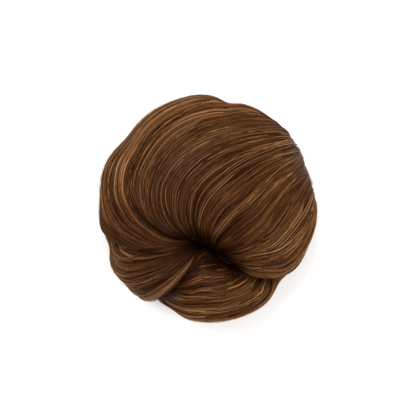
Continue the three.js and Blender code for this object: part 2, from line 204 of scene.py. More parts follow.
# A point of a lock at across and along it, standing height above its own skin. The skin bulges by
# lift + swell(1 - |2u - 1|^power) and rolls off at both edges as a quarter circle, less a groove (1 - sin)^2
# between its bundles, which deepens from nothing at the root, and what a lock over it presses down.
def lockPoint(lock, across, along, height):
    values = carriedAlong(lock["rows"], along)
    chart = chartAt(values, across)
    lift, swell = values[..., 6], values[..., 7]
    width = np.linalg.norm(values[..., 2:4] - values[..., 0:2], axis=-1)
    width = width + np.linalg.norm(values[..., 4:6] - values[..., 2:4], axis=-1)
    fromEdge = np.clip(1 - np.minimum(across, 1 - across) * width * knot["radius"] / knot["edgeRoll"], 0, 1)
    rounding = 1 - np.sqrt(1 - fromEdge**2)
    edges = np.array(lock["bundles"])
    bundle = np.clip(np.searchsorted(edges, across, side="right") - 1, 0, len(edges) - 2)
    within = (across - edges[bundle]) / (edges[bundle + 1] - edges[bundle])
    groove = lock["grooveDepth"] * eased(along, 0, lock["grooveFull"])
    groove = groove * (1 - np.sin(np.pi * np.clip(within, 0, 1))) ** 2
    swellAcross = 1 - np.abs(2 * across - 1) ** knot["swellPower"]
    pressed = pressedAt(lock, chart)
    rise = knot["edgeRoll"] * (lift + swell * swellAcross - rounding) - groove - pressed + height
    turn = np.arctan2(chart[..., 1], chart[..., 0])
    reach = np.minimum(np.hypot(chart[..., 0], chart[..., 1]), knot["footShare"])
    point, out = shellAt(turn, reach, knot, 1, 1)
    point = point + out * rise[..., None]
    point[..., 2] = np.maximum(point[..., 2], lock["lowest"])
    point[..., :2] += knotAxis
    return point, out, pressed


# Reverses the faces where the body's signed volume, summed over fans of its faces, is negative.
def facingOut(points, faceSets):
    volume = 0
    for faces in faceSets:
        for at in range(1, faces.shape[1] - 1):
            a, b, c = points[faces[:, 0]], points[faces[:, at]], points[faces[:, at + 1]]
            volume += (a * np.cross(b, c)).sum()
    return [faces[:, ::-1] for faces in faceSets] if volume < 0 else faceSets


# Puts arrays of points and of equal-sided faces into a new mesh object, with numbers for each point.
def meshFromArrays(name, points, faceSets, values, uv):
    mesh = bpy.data.meshes.new(name)
    mesh.vertices.add(len(points))
    mesh.vertices.foreach_set("co", np.asarray(points, np.float32).ravel())
    faceSets = facingOut(points, faceSets)
    corners = np.concatenate([faces.ravel() for faces in faceSets]).astype(np.int32)
    sizes = np.concatenate([np.full(len(faces), faces.shape[1]) for faces in faceSets])
    starts = np.concatenate([[0], np.cumsum(sizes)[:-1]]).astype(np.int32)
    mesh.loops.add(len(corners))
    mesh.loops.foreach_set("vertex_index", corners)
    mesh.polygons.add(len(sizes))
    mesh.polygons.foreach_set("loop_start", starts)
    mesh.polygons.foreach_set("use_smooth", np.ones(len(sizes), bool))
    for valueName, numbers in values.items():
        attribute = mesh.attributes.new(valueName, "FLOAT", "POINT")
        attribute.data.foreach_set("value", np.asarray(numbers, np.float32).ravel())
    layer = mesh.uv_layers.new(name="OFBake")
    layer.data.foreach_set("uv", np.asarray(uv, np.float32)[corners].ravel())
    mesh.update(calc_edges=True)
    mesh.validate()
    piece = bpy.data.objects.new(name, mesh)
    bpy.context.scene.collection.objects.link(piece)
    return piece


# A closed sheet between a top and a bottom grid of points, each rows by columns: a band of quads round every
# row of the two, and a strip across each end.
def closedSheet(top, bottom):
    rows, columns = top.shape[:2]
    loop = np.concatenate([top, bottom[:, ::-1]], 1)
    count = 2 * columns
    index = np.arange(rows * count).reshape(rows, count)
    nextIndex = np.roll(index, -1, 1)
    sides = np.stack([index[:-1], index[1:], nextIndex[1:], nextIndex[:-1]], -1).reshape(-1, 4)
    ends = []
    for row, flip in ((index[0], False), (index[-1], True)):
        at = np.arange(columns - 1)
        strip = np.stack([row[at], row[at + 1], row[count - 2 - at], row[count - 1 - at]], -1)
        ends.append(strip[:, ::-1] if flip else strip)
    return loop.reshape(-1, 3), [np.concatenate([sides] + ends)]


# A closed body spun round the knot's axis: rings by columns, with a lid on its first and last ring.
def closedRings(rings):
    count, columns = rings.shape[:2]
    index = np.arange(count * columns).reshape(count, columns)
    following = np.roll(index, -1, 1)
    walls = np.stack([index[:-1], index[1:], following[1:], following[:-1]], -1).reshape(-1, 4)
    lids = np.stack([index[0], index[-1][::-1]])
    u = np.broadcast_to(np.linspace(0, 1, columns), (count, columns))
    v = np.broadcast_to(np.linspace(0, 1, count)[:, None], (count, columns))
    return rings.reshape(-1, 3), [walls, lids], np.stack([u, v], -1).reshape(-1, 2)


# Closed pointed tubes along many paths at once: paths is strands by steps by 3, out the direction away from
# the knot, and radius strands by steps. Each ring is three points round the path, each end one point.
def strandTubes(paths, out, radius):
    strands, steps = paths.shape[:2]
    tangent = np.gradient(paths, axis=1)
    tangent /= np.linalg.norm(tangent, axis=-1, keepdims=True) + tiny
    side = np.cross(tangent, out)
    side /= np.linalg.norm(side, axis=-1, keepdims=True) + tiny
    up = np.cross(side, tangent)
    angles = np.radians([90, 210, 330])
    ring = (
        paths[:, 1:-1, None]
        + radius[:, 1:-1, None, None] * np.cos(angles)[:, None] * side[:, 1:-1, None]
        + radius[:, 1:-1, None, None] * np.sin(angles)[:, None] * up[:, 1:-1, None]
    )
    rings = steps - 2
    perStrand = rings * 3 + 2
    points = np.concatenate([ring.reshape(strands, -1, 3), paths[:, :1], paths[:, -1:]], 1)
    base = np.arange(strands)[:, None, None] * perStrand
    row = np.arange(rings - 1)[None, :, None] * 3
    corner = np.arange(3)[None, None, :]
    following = (corner + 1) % 3
    walls = np.stack(
        [base + row + corner, base + row + following, base + row + 3 + following, base + row + 3 + corner], -1
    ).reshape(-1, 4)
    first = np.arange(strands)[:, None] * perStrand
    around = np.arange(3)[None, :]
    lastRing = first + (rings - 1) * 3
    startTip = first + rings * 3 + 0 * around
    startFaces = np.stack([first + (around + 1) % 3, first + around, startTip], -1).reshape(-1, 3)
    endFaces = np.stack([lastRing + around, lastRing + (around + 1) % 3, startTip + 1], -1).reshape(-1, 3)
    return points.reshape(-1, 3), [walls, np.concatenate([startFaces, endFaces])]


# One number for each path point, spread to the tube's points in the order strandTubes makes them.
def spreadToTubes(numbers):
    strands = numbers.shape[0]
    rings = np.repeat(numbers[:, 1:-1], 3, axis=1)
    return np.concatenate([rings.reshape(strands, -1), numbers[:, :1], numbers[:, -1:]], 1).ravel()


# Baking places of tubes: each strand has a column of its own, and runs up it.
def tubeColumns(strands, steps):
    column = np.broadcast_to(((np.arange(strands) + 0.5) / strands)[:, None], (strands, steps))
    up = np.broadcast_to(np.linspace(0, 1, steps), (strands, steps))
    return np.stack([spreadToTubes(column), spreadToTubes(up)], -1)


# Lighter and darker bands, mostly painted highlights and painted shade, partly bundles' own tone: a sum of
# bell curves across a lock, each within its stretch along it.
def bundleToneAndLight(lock, across, along):
    tone = np.zeros(np.broadcast(across, along).shape)
    ease = lock["bandEase"]
    for band in lock["bands"]:
        bell = np.exp(-(((across - band["across"]) / band["width"]) ** 2))
        reachIn = eased(along, band["from"] - ease, band["from"] + ease)
        reachOut = 1 - eased(along, band["to"] - ease, band["to"] + ease)
        tone = tone + band["tone"] * bell * reachIn * reachOut
    return tone


# Painted shade near the slit: how much darker the hair is painted there, eased by how far the skin sinks.
def slitShadeAt(points):
    sink = sinkAt(points[..., 0] - knotAxis[0], points[..., 1] - knotAxis[1])
    return knot["slitShade"] * eased(sink, *knot["slitShadeSink"])


# The skin under the strands: a dense dark sheet over the lock, streaked along it in height and tone. Its dark
# tone is painted shade of the hair deep in the lock, darker still near the slit. Its underside has the
# darkest tone, painted shade too.
def lockSkin(lock, key):
    columns, rows = lock["skinColumns"], lock["skinRows"]
    across = np.broadcast_to(np.linspace(0, 1, columns), (rows, columns))
    along = np.broadcast_to(np.linspace(0, 1, rows)[:, None], (rows, columns))
    streaks = clumpNoise(across, along, *lock["skinStreaks"], key)
    top, _, _ = lockPoint(lock, across, along, -lock["skinDepth"] + lock["skinGrain"] * streaks)
    inset = lock["skinInset"]
    under = np.full(across.shape, -lock["skinThickness"])
    bottom, _, _ = lockPoint(lock, inset + (1 - 2 * inset) * across, along, under)
    points, faces = closedSheet(top, bottom)
    # painted shade: the skin's dark tone, less the slit's painted shade
    topTone = lock["skinShadeTone"] + lock["skinStreakTone"] * streaks - slitShadeAt(top)
    tone = np.concatenate([topTone, np.zeros(across.shape)], 1)
    half = 0.5 * across
    uv = np.stack([np.concatenate([half, 1 - half], 1), np.concatenate([along, along], 1)], -1)
    return points, faces, {"tone": tone}, uv.reshape(-1, 2)


# Strands of one lock as one mesh's arrays, gathered in wisps. A wisp has a place across, a slant, a height
# and a tone, and draws in at its ends. Deep wisps run the whole way, top ones part of it, and only the top
# ones have some brighter strands, the glints, which are painted highlights. The strands of a wisp spread
# round its place, bend a little by themselves and dive in at their ends. A strand that would pass a lock's
# edge folds back.
def lockStrands(lock, count, steps, key, options):
    rng = np.random.default_rng([seed, key])
    wisps = max(1, count // options["wispSize"])
    top = rng.uniform(0, 1, wisps) < options["topShare"]
    wispPlace = (rng.permutation(wisps) + rng.uniform(0, 1, wisps)) / wisps
    wispStart = np.where(top, np.clip(rng.uniform(*options["topStart"], wisps), 0, 1), 0)
    wispEnd = np.where(top, np.clip(wispStart + rng.uniform(*options["topLength"], wisps), 0, 1), 1)
    wispSlant = rng.normal(0, options["slant"], wisps)
    topHeight = rng.uniform(*options["topHeight"], wisps)
    deepHeight = rng.uniform(*options["deepHeight"], wisps)
    wispHeight = np.where(top, topHeight, deepHeight)
    wispTone = rng.normal(0, 1, wisps) * np.where(top, options["topTone"], options["deepTone"])

    wisp = rng.permutation(np.arange(count) % wisps)
    glint = (rng.uniform(0, 1, count) < options["glintShare"]) & top[wisp]
    spread = rng.normal(0, 1, count)
    start = np.clip(wispStart[wisp] + rng.uniform(0, options["ragged"], count), 0, 1)
    end = np.clip(wispEnd[wisp] - rng.uniform(0, options["ragged"], count), 0, 1)
    t = np.linspace(0, 1, steps)
    along = start[:, None] + (end - start)[:, None] * t
    place = np.broadcast_to(wispPlace[wisp][:, None], along.shape)
    alone = np.broadcast_to(rng.uniform(0, 1, count)[:, None], along.shape)

    aside = wispSlant[wisp][:, None] * (along - 0.5)
    gather = options["endSpread"] + (1 - options["endSpread"]) * np.sin(np.pi * t) ** options["spreadPower"]
    aside = aside + options["spread"] * spread[:, None] * gather
    bend = clumpNoise(place, along, lock["broadStreaks"], options["bendRows"], key + 1)
    ownBend = clumpNoise(alone, along, *options["ownBendGrid"], key + 2)
    aside = aside + options["bend"] * bend + options["ownBend"] * ownBend
    across = place + aside / lock["wide"]
    for fan in lock["fans"]:
        bell = np.exp(-(((place - fan["across"]) / fan["width"]) ** 2))
        across = across + fan["shift"] * bell * eased(along, fan["from"], fan["to"])
    across = np.clip(1 - np.abs(1 - np.abs(across)), options["edgeGap"], 1 - options["edgeGap"])

    height = wispHeight[wisp][:, None] + rng.uniform(-0.5, 0.5, count)[:, None] * options["ownHeight"]
    height = height - options["wispRound"] * (spread**2)[:, None] + options["glintHeight"] * glint[:, None]
    fromEnd = np.minimum(t, 1 - t)[None, :] / np.where(top[wisp], *options["tuckShares"])[:, None]
    height = height - options["tuck"] * np.clip(1 - fromEnd, 0, 1) ** 2
    paths, out, pressed = lockPoint(lock, across, along, height)

    guides = carriedAlong(lock["rows"], along)
    width = np.linalg.norm(guides[..., 0:2] - guides[..., 4:6], axis=-1)
    crowding = np.clip(width / options["fullWidth"], options["leastWidth"], 1)
    taper = np.minimum(1, np.minimum(t, 1 - t) / options["taperShare"]) ** options["taperPower"]
    thickness = options["radius"] * rng.uniform(*options["thickness"], count)
    thickness = thickness * np.where(glint, options["glintThickness"], 1)
    points, faces = strandTubes(paths, out, thickness[:, None] * taper * crowding)

    tone = options["toneMiddle"] + (wispTone[wisp] + rng.normal(0, options["ownTone"], count))[:, None]
    tone = tone + options["alongTone"] * clumpNoise(alone, along, *options["alongToneGrid"], key + 3)
    broadColumns = lock["broadStreaks"] // options["broadToneJoin"]
    broad = clumpNoise(across, along, broadColumns, options["broadToneRows"], key + 4)
    tone = tone + options["broadTone"] * broad
    # painted highlights (glints, bands) and painted shade at the tips, roots, pressed creases and the slit
    tone = tone + options["glintTone"] * glint[:, None] + bundleToneAndLight(lock, across, along)
    tone = tone - lock["tipShade"] * eased(along, lock["tipShadeFrom"], 1)
    tone = tone - lock["rootShade"] * (1 - eased(along, *lock["rootShadeEnds"]))
    tone = tone - options["pressShade"] * eased(pressed, 0, options["pressShadeDepth"]) - slitShadeAt(paths)
    cast = rng.normal(0, options["wispCast"], wisps)[wisp] + rng.normal(0, options["ownCast"], count)
    cast = cast[:, None] + 0 * along
    looks = {"tone": spreadToTubes(np.clip(tone, 0, 1)), "cast": spreadToTubes(np.clip(cast, -1, 1))}
    return points, faces, looks, tubeColumns(count, steps)


# sRGB numbers out of 255 as linear colour.
def fromScreen(red, green, blue):
    values = np.array([red, green, blue]) / 255
    linear = np.where(values <= 0.04045, values / 12.92, ((values + 0.055) / 1.055) ** 2.4)
    return tuple(float(value) for value in linear)


# A new node group with sockets given as (name, kind) pairs, and its input and output nodes.
def nodeGroup(name, inputs, outputs):
    group = bpy.data.node_groups.new(name, "ShaderNodeTree")
    for socket, kind in inputs:
        group.interface.new_socket(name=socket, in_out="INPUT", socket_type=kind)
    for socket, kind in outputs:
        group.interface.new_socket(name=socket, in_out="OUTPUT", socket_type=kind)
    return group, group.nodes.new("NodeGroupInput"), group.nodes.new("NodeGroupOutput")


# A math node on values or sockets.
def mathNode(tree, operation, *values):
    node = tree.nodes.new("ShaderNodeMath")
    node.operation = operation
    for socket, value in zip(node.inputs, values):
        if isinstance(value, (int, float)):
            socket.default_value = value
        else:
            tree.links.new(value, socket)
    return node.outputs[0]


# Streaks along a piece: noise on its own unwrapped places, drawn out along them.
def streakGroup():
    asked = [("Places", "NodeSocketVector"), ("Stretch", "NodeSocketVector")]
    group, inputs, outputs = nodeGroup("streaks", asked, [("Value", "NodeSocketFloat")])
    scaled = group.nodes.new("ShaderNodeVectorMath")
    scaled.operation = "MULTIPLY"
    noise = group.nodes.new("ShaderNodeTexNoise")
    noise.inputs["Scale"].default_value = 1
    noise.inputs["Detail"].default_value = hairLook["streakDetail"]
    group.links.new(inputs.outputs["Places"], scaled.inputs[0])
    group.links.new(inputs.outputs["Stretch"], scaled.inputs[1])
    group.links.new(scaled.outputs[0], noise.inputs["Vector"])
    group.links.new(noise.outputs["Fac"], outputs.inputs["Value"])
    return group


hairLook = {
    # place from dark to light, and colour on the screen, with the two ends first
    "stops": [
        (0.0, (26, 9, 2)),
        (1.0, (188, 144, 100)),
        (0.25, (54, 26, 9)),
        (0.5, (88, 53, 26)),
        (0.75, (129, 87, 51)),
    ],
    "castHue": 0.004,  # how far a cast of 1 turns the hue
    "castSaturation": -0.06,
    "roughness": 0.42,
    "specular": 0.08,
    "specularTint": (1, 0.86, 0.72, 1),
    "streakTone": 0.4,
    "streakDetail": 3,
    "lockStretch": (260, 6, 1),  # streaks across a lock's skin and along it
    "coilStretch": (12, 160, 1),
}


# Hair colour from dark to light by tone, turned from red to gold by cast.
def hairColourGroup():
    asked = [("Tone", "NodeSocketFloat"), ("Cast", "NodeSocketFloat")]
    group, inputs, outputs = nodeGroup("hair_colour", asked, [("Color", "NodeSocketColor")])
    ramp = group.nodes.new("ShaderNodeValToRGB")
    for at, (place, colour) in enumerate(hairLook["stops"]):
        element = ramp.color_ramp.elements[at] if at < 2 else ramp.color_ramp.elements.new(place)
        element.position = place
        element.color = (*fromScreen(*colour), 1)
    turned = group.nodes.new("ShaderNodeHueSaturation")
    group.links.new(inputs.outputs["Tone"], ramp.inputs["Fac"])
    group.links.new(ramp.outputs["Color"], turned.inputs["Color"])
    cast = inputs.outputs["Cast"]
    hue = mathNode(group, "MULTIPLY_ADD", cast, hairLook["castHue"], 0.5)
    saturation = mathNode(group, "MULTIPLY_ADD", cast, hairLook["castSaturation"], 1)
    group.links.new(hue, turned.inputs["Hue"])
    group.links.new(saturation, turned.inputs["Saturation"])
    group.links.new(turned.outputs["Color"], outputs.inputs["Color"])
    return group


streaks = streakGroup()
hairColours = hairColourGroup()


# Hair: a piece's own tone and cast give its colour, the tone with painted shade and painted highlights in it.
# With a stretch, streaks along the piece change the tone.
def hairMaterial(name, streakStretch=None):
    material = bpy.data.materials.new(name)
    material.use_nodes = True
    tree = material.node_tree
    shader = tree.nodes["Principled BSDF"]
    tone = tree.nodes.new("ShaderNodeAttribute")
    tone.attribute_name = "tone"
    cast = tree.nodes.new("ShaderNodeAttribute")
    cast.attribute_name = "cast"
    colour = tree.nodes.new("ShaderNodeGroup")
    colour.node_tree = hairColours
    toned = tone.outputs["Fac"]
    if streakStretch:
        places = tree.nodes.new("ShaderNodeUVMap")
        places.uv_map = "OFBake"
        streak = tree.nodes.new("ShaderNodeGroup")
        streak.node_tree = streaks
        streak.inputs["Stretch"].default_value = streakStretch
        tree.links.new(places.outputs["UV"], streak.inputs["Places"])
        centred = mathNode(tree, "SUBTRACT", streak.outputs["Value"], 0.5)
        toned = mathNode(tree, "ADD", toned, mathNode(tree, "MULTIPLY", centred, hairLook["streakTone"]))
    tree.links.new(toned, colour.inputs["Tone"])
    tree.links.new(cast.outputs["Fac"], colour.inputs["Cast"])
    tree.links.new(colour.outputs["Color"], shader.inputs["Base Color"])
    shader.inputs["Roughness"].default_value = hairLook["roughness"]
    shader.inputs["Specular IOR Level"].default_value = hairLook["specular"]
    shader.inputs["Specular Tint"].default_value = hairLook["specularTint"]
    return material


# The noise of a plain material: its detail, and the values where the material is dark and light.
clouds = {"detail": 4, "dark": 0.35, "light": 0.65}


# Smooth plastic or woven stuff between two near colours, clouded by noise on object places.
def plainMaterial(name, dark, light, scale, roughness, specular):
    material = bpy.data.materials.new(name)
    material.use_nodes = True
    tree = material.node_tree
    shader = tree.nodes["Principled BSDF"]
    places = tree.nodes.new("ShaderNodeTexCoord")
    noise = tree.nodes.new("ShaderNodeTexNoise")
    noise.inputs["Scale"].default_value = scale
    noise.inputs["Detail"].default_value = clouds["detail"]
    ramp = tree.nodes.new("ShaderNodeValToRGB")
    ramp.color_ramp.elements[0].position = clouds["dark"]
    ramp.color_ramp.elements[0].color = (*fromScreen(*dark), 1)
    ramp.color_ramp.elements[1].position = clouds["light"]
    ramp.color_ramp.elements[1].color = (*fromScreen(*light), 1)
    tree.links.new(places.outputs["Object"], noise.inputs["Vector"])
    tree.links.new(noise.outputs["Fac"], ramp.inputs["Fac"])
    tree.links.new(ramp.outputs["Color"], shader.inputs["Base Color"])
    shader.inputs["Roughness"].default_value = roughness
    shader.inputs["Specular IOR Level"].default_value = specular
    return material


print("building the locks")

# guides are a lock's inner, middle and outer hair, each a turn in degrees and a reach. A band is a lighter or
# darker stretch across the lock, mostly a painted highlight or painted shade, partly a bundle's own tone. A
# fan moves strands sideways, from nothing at one place along the lock to its whole shift at another, so one
# that ends before 0 holds all the way. pressedBy names an edge of a lock that lies over this one: guide 0 is
# that lock's inner edge and 4 its outer one, and side 1 presses to the left of it, -1 to the right.
locks = {
    "crown_lock": {
        "bundles": [0, 0.2, 0.42, 0.66, 0.84, 1],
        "sections": [
            {"guides": ((45, 1.5), (37, 1.5), (28, 1.5)), "lift": 0.1, "swell": 0.2},
            {"guides": ((51, 1.22), (36, 1.2), (21, 1.25)), "lift": 0.25, "swell": 0.2},
            {"guides": ((68, 1.07), (35, 0.97), (4, 1.13)), "lift": 0.35, "swell": 0.2},
            {"guides": ((84, 0.97), (37, 0.79), (-9, 1.1)), "lift": 0.35, "swell": 0.3},
            {"guides": ((104, 0.87), (39, 0.6), (-22, 1.07)), "lift": 0.3, "swell": 0.4},
            {"guides": ((124, 0.81), (41, 0.41), (-34, 1.02)), "lift": 0.3, "swell": 0.5},
            {"guides": ((146, 0.73), (44, 0.22), (-45, 0.9)), "lift": 0.3, "swell": 0.6},
            {"guides": ((170, 0.63), (56, 0.05), (-53, 0.7)), "lift": 0.3, "swell": 0.6},
            {"guides": ((193, 0.49), (-112, 0.08), (-60, 0.54)), "lift": 0.3, "swell": 0.4},
            {"guides": ((217, 0.35), (-100, 0.18), (-65, 0.44)), "lift": 0.2, "swell": 0.2},
            {"guides": ((244, 0.24), (-92, 0.26), (-68, 0.385)), "lift": 0, "swell": 0},
        ],
        # painted highlights: lighter bands along the crown's ridge and its right side, and a faint one on its
        # left
        "bands": [
            {"across": 0.6, "width": 0.035, "tone": 0.14, "from": 0.15, "to": 0.9},
            {"across": 0.8, "width": 0.05, "tone": 0.1, "from": 0.25, "to": 0.9},
            {"across": 0.93, "width": 0.1, "tone": 0.12, "from": 0.2, "to": 0.8},
            {"across": 0.2, "width": 0.1, "tone": 0.06, "from": 0.15, "to": 0.6},
        ],
        "fans": [
            {"across": 0.34, "width": 0.2, "shift": -0.18, "from": 0.3, "to": 0.85},
            {"across": 0.76, "width": 0.14, "shift": -0.04, "from": 0.2, "to": 0.4},
            {"across": 0.7, "width": 0.17, "shift": 0.14, "from": 0.45, "to": 0.85},
        ],
        "tipShade": 0.27,
        "pressedBy": [
            {"lock": "left_lock", "guide": 0, "side": -1, "from": 0.2, "to": 0.98, "depth": 8 * mm},
        ],
        "strandSets": 2,
        "strandCount": 1120,
        "steps": 30,
    },
    "left_lock": {
        "bundles": [0, 0.28, 0.6, 1],
        "sections": [
            {"guides": ((54, 1.06), (52, 1.28), (50, 1.5)), "lift": -1.1, "swell": 0.2},
            {"guides": ((70, 1.0), (71, 1.24), (71, 1.52)), "lift": -0.3, "swell": 0.5},
            {"guides": ((88, 0.87), (92, 1.14), (92, 1.53)), "lift": 0.3, "swell": 0.6},
            {"guides": ((106, 0.79), (112, 1.05), (114, 1.53)), "lift": 0.4, "swell": 0.4},
            {"guides": ((126, 0.71), (134, 0.98), (136, 1.52)), "lift": 0.4, "swell": 0.3},
            {"guides": ((146, 0.63), (156, 0.92), (157, 1.46)), "lift": 0.5, "swell": 0.3},
            {"guides": ((167, 0.57), (176, 0.83), (176, 1.3)), "lift": 0.5, "swell": 0.3},
            {"guides": ((187, 0.47), (191, 0.68), (191, 1.1)), "lift": 0.5, "swell": 0.4},
            {"guides": ((207, 0.365), (206, 0.515), (201, 0.86)), "lift": 0.5, "swell": 0.4},
            {"guides": ((228, 0.285), (220, 0.375), (210, 0.57)), "lift": 0.4, "swell": 0.3},
            {"guides": ((250, 0.215), (242, 0.25), (236, 0.3)), "lift": 0.1, "swell": 0},
        ],
        # a painted highlight along the raised inner edge; the middle of the lock a little darker
        "bands": [
            {"across": 0.1, "width": 0.06, "tone": 0.24, "from": 0.2, "to": 0.6},
            {"across": 0.5, "width": 0.5, "tone": -0.06, "from": 0.2, "to": 2},
        ],
        "fans": [],
        "pressedBy": [],
        "strandSets": 1,
        "strandCount": 1150,
        "steps": 28,
    },
    "lower_left_lock": {
        "bundles": [0, 0.4, 0.72, 1],
        "sections": [
            {"guides": ((160, 1.05), (158, 1.27), (156, 1.5)), "lift": -1.1, "swell": 0.2},
            {"guides": ((177, 0.95), (178, 1.22), (179, 1.52)), "lift": -0.4, "swell": 0.5},
            {"guides": ((191, 0.82), (196, 1.12), (201, 1.52)), "lift": 0.3, "swell": 0.6},
            {"guides": ((200, 0.68), (208, 0.98), (220, 1.42)), "lift": 0.6, "swell": 0.5},
            {"guides": ((207, 0.55), (216, 0.84), (233, 1.22)), "lift": 0.6, "swell": 0.5},
            {"guides": ((214, 0.44), (222, 0.68), (241, 1.0)), "lift": 0.6, "swell": 0.5},
            {"guides": ((222, 0.35), (229, 0.51), (246, 0.74)), "lift": 0.6, "swell": 0.4},
            {"guides": ((233, 0.27), (239, 0.37), (252, 0.49)), "lift": 0.4, "swell": 0.3},
            {"guides": ((246, 0.215), (251, 0.255), (260, 0.29)), "lift": 0.1, "swell": 0},
        ],
        # a painted highlight along the rolled outer edge; the inner side a little lighter
        "bands": [
            {"across": 0.86, "width": 0.06, "tone": 0.38, "from": 0.4, "to": 2},
            {"across": 0.1, "width": 0.15, "tone": 0.08, "from": 0.2, "to": 0.9},
        ],
        "fans": [],
        "pressedBy": [
            {"lock": "left_lock", "guide": 4, "side": 1, "from": 0.55, "to": 0.98, "depth": 4 * mm},
        ],
        "strandSets": 1,
        "strandCount": 820,
        "steps": 26,
    },
    "bottom_lock": {
        "bundles": [0, 0.3, 0.62, 1],
        "sections": [
            {"guides": ((228, 0.6), (224, 1.0), (218, 1.5)), "lift": -1.1, "swell": 0.2},
            {"guides": ((240, 0.46), (238, 0.96), (237, 1.52)), "lift": -0.4, "swell": 0.5},
            {"guides": ((252, 0.34), (253, 0.9), (255, 1.53)), "lift": 0.1, "swell": 0.7},
            {"guides": ((262, 0.285), (269, 0.88), (273, 1.53)), "lift": 0.2, "swell": 0.8},
            {"guides": ((272, 0.28), (285, 0.87), (291, 1.53)), "lift": 0.2, "swell": 0.8},
            {"guides": ((283, 0.31), (300, 0.86), (309, 1.53)), "lift": 0.1, "swell": 0.7},
            {"guides": ((296, 0.39), (315, 0.9), (326, 1.53)), "lift": -0.3, "swell": 0.6},
            {"guides": ((312, 0.58), (332, 1.0), (343, 1.53)), "lift": -0.5, "swell": 0.6},
            {"guides": ((332, 0.8), (350, 1.12), (360, 1.52)), "lift": -0.5, "swell": 0.6},
            {"guides": ((352, 0.98), (368, 1.2), (376, 1.52)), "lift": -0.7, "swell": 0.4},
            {"guides": ((374, 1.08), (382, 1.28), (388, 1.5)), "lift": -1.1, "swell": 0.2},
        ],
        # the lock a little darker, its inner edge darker still as painted shade under the crown's edge
        "bands": [
            {"across": 0.3, "width": 0.6, "tone": -0.03, "from": -1, "to": 2},
            {"across": 0.0, "width": 0.2, "tone": -0.1, "from": 0.2, "to": 2},
        ],
        "fans": [
            {"across": 0.12, "width": 0.6, "shift": 0.3, "from": -1, "to": -0.5},
            {"across": 0.12, "width": 0.6, "shift": -0.3, "from": -0.05, "to": 0.3},
        ],
        "pressedBy": [
            {"lock": "lower_left_lock", "guide": 4, "side": 1, "from": 0.45, "to": 1.0, "depth": 5 * mm},
            {"lock": "crown_lock", "guide": 4, "side": -1, "from": 0.4, "to": 1.0, "depth": 6 * mm},
        ],
        "strandSets": 1,
        "strandCount": 1150,
        "steps": 28,
    },
}
# Places along a lock are shares of its length from root to tip, and those across it shares of its width.
lockDefaults = {
    "grooveDepth": 1.1 * mm,
    "grooveFull": 0.35,  # where the grooves reach their depth
    # painted shade: tips darker towards the slit, roots darker where they turn under the knot
    "tipShade": 0.2,  # how much darker the tips are
    "tipShadeFrom": 0.4,
    "rootShade": 0.19,
    "rootShadeEnds": (0.05, 0.3),
    "bandEase": 0.08,
    "broadWidth": 3.5 * mm,  # of one broad streak
    "skinDepth": 1.6 * mm,
    "skinThickness": 3.4 * mm,
    "skinInset": 0.02,
    "skinColumns": 60,
    "skinRows": 44,
    "skinStreaks": (60, 5),  # across and along
    "skinGrain": 0.25 * mm,
    # painted shade: the dark tone of the skin seen between the strands
    "skinShadeTone": 0.14,
    "skinStreakTone": 0.08,
    "lowest": 1.1 * mm,
}
pressDefaults = {
    "points": 60,
    "shade": 5 * mm,
    "under": 4 * mm,
    "fadeIn": 0.15,
    "fadeOut": 0.1,
    "endGap": 0.01,
    "past": (1 * mm, 5 * mm),  # beyond the edge's ends, where the press starts to fade and where it is gone
}
strandDefaults = {
    "radius": 0.18 * mm,
    "thickness": (0.65, 1.25),  # least and most, as shares of the radius
    "taperShare": 0.15,
    "taperPower": 0.6,
    "wispSize": 5,
    "topShare": 0.55,
    "topStart": (-0.15, 0.75),
    "topLength": (0.2, 0.55),
    "topHeight": (-0.7 * mm, -0.1 * mm),
    "deepHeight": (-1.3 * mm, -0.6 * mm),
    "ownHeight": 0.3 * mm,
    "wispRound": 0.06 * mm,
    "slant": 4.5 * mm,
    "spread": 0.8 * mm,
    "endSpread": 0.35,
    "spreadPower": 0.7,
    "bend": 0.8 * mm,
    "bendRows": 4,
    "ownBend": 0.5 * mm,
    "ownBendGrid": (97, 3),
    "ragged": 0.06,
    "edgeGap": 0.003,
    "tuck": 1.2 * mm,
    "tuckShares": (0.2, 0.06),  # of a top and of a deep strand's length
    "toneMiddle": 0.48,
    "topTone": 0.08,
    "deepTone": 0.06,
    "ownTone": 0.16,
    "alongTone": 0.09,
    "alongToneGrid": (89, 6),
    "broadTone": 0.06,
    "broadToneJoin": 3,  # broad streaks that share a tone
    "broadToneRows": 3,
    # painted shade in the creases where a lock is pressed under the edge of another
    "pressShade": 0.42,
    "pressShadeDepth": 4 * mm,
    "wispCast": 0.5,
    "ownCast": 0.4,
    # glints: painted highlights on single strands of top wisps, which are also thinner and raised
    "glintShare": 0.12,
    "glintTone": 0.3,
    "glintHeight": 0.15 * mm,
    "glintThickness": 0.8,
    "fullWidth": 0.9,  # a lock narrower than this, as a share of the radius, has thinner strands
    "leastWidth": 0.35,
}
# Loose hairs that cross the others.
looseHairs = {
    "count": 26,
    "steps": 26,
    "radius": 0.1 * mm,
    "wispSize": 1,
    "topShare": 1.0,
    "topHeight": (0, 0.4 * mm),
    "slant": 16 * mm,
    "bend": 1.5 * mm,
    "ownBend": 1.5 * mm,
    "toneMiddle": 0.66,
}
strandMaterial = hairMaterial("hair")
skinMaterial = hairMaterial("hair_under", hairLook["lockStretch"])

for lock in locks.values():
    lock.update({key: value for key, value in lockDefaults.items() if key not in lock})
    lock["rows"] = chartRows(lock["sections"])
    middle = carriedAlong(lock["rows"], np.array([0.5]))[0]
    guides = middle[2:4] - middle[0:2], middle[4:6] - middle[2:4]
    lock["wide"] = knot["radius"] * sum(float(np.linalg.norm(guide)) for guide in guides)
    lock["broadStreaks"] = int(lock["wide"] / lock["broadWidth"])
    for press in lock["pressedBy"]:
        press.update({key: value for key, value in pressDefaults.items() if key not in press})


